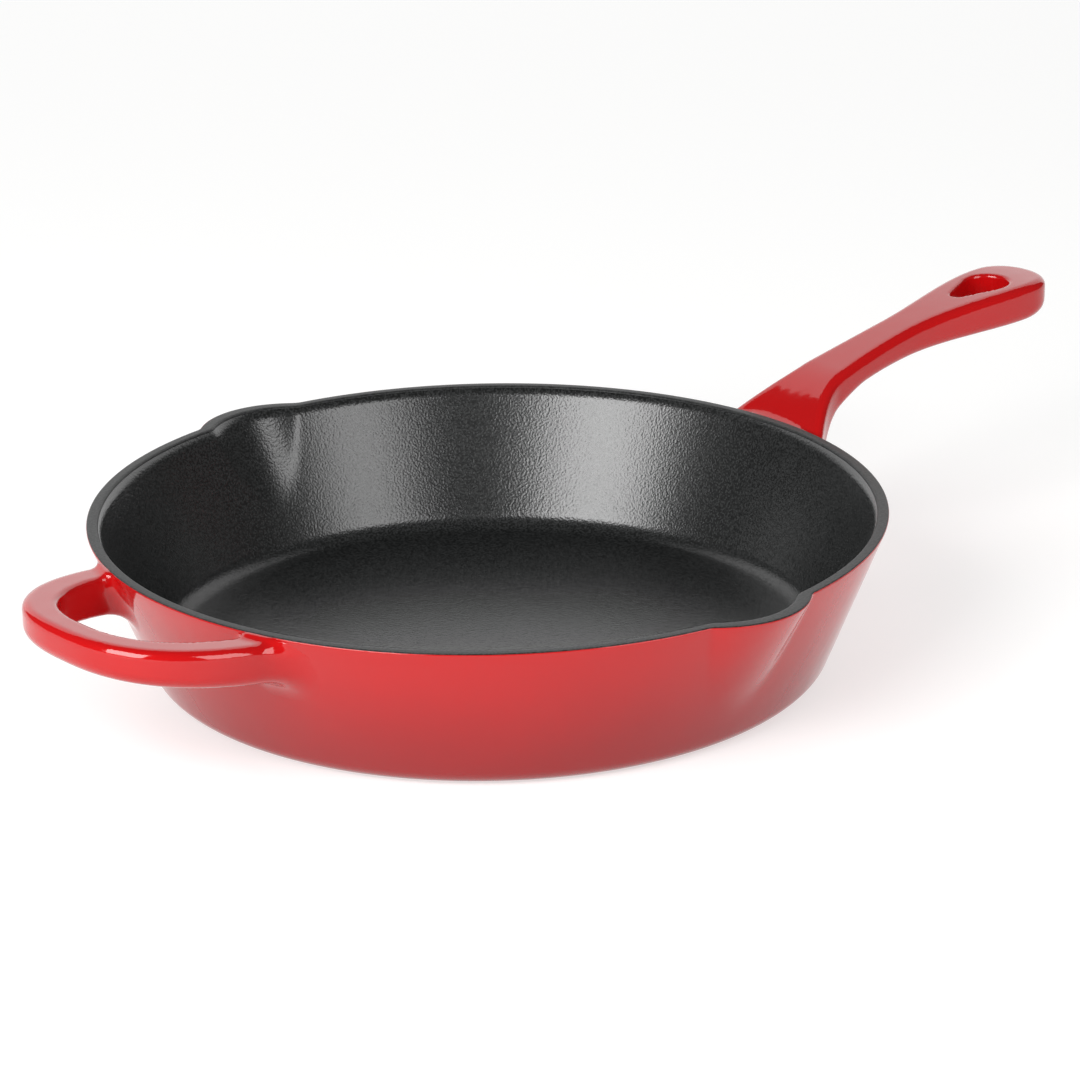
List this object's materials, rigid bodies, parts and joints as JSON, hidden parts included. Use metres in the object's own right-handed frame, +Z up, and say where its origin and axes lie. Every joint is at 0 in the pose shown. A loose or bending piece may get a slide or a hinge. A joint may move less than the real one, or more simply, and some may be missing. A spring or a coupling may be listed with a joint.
{
  "type": "cast iron skillet",
  "caption": "Round enamelled cast iron skillet with leaning wall, opposed pouring lips, a long handle with a teardrop hanging hole and a looped helper handle.",
  "frame": {"origin": "centre of the underside, on the surface the skillet stands on", "axes": "+X along the long handle, +Y towards one pouring lip, +Z up out of the pan"},
  "size_m": [0.4274, 0.2746, 0.0792],
  "materials": {
    "iron": "as cast, dark grey, under the enamel",
    "black_enamel": "satin black fired enamel",
    "red_enamel": "glossy red fired enamel"
  },
  "bodies": {
    "root": {"pan_casting": "iron", "main_handle_casting": "iron", "helper_handle_casting": "iron", "interior_enamel": "black_enamel", "rim_enamel": "black_enamel", "exterior_enamel": "red_enamel", "base_enamel": "red_enamel", "main_handle_enamel": "red_enamel", "helper_handle_enamel": "red_enamel"}
  },
  "joints": []
}
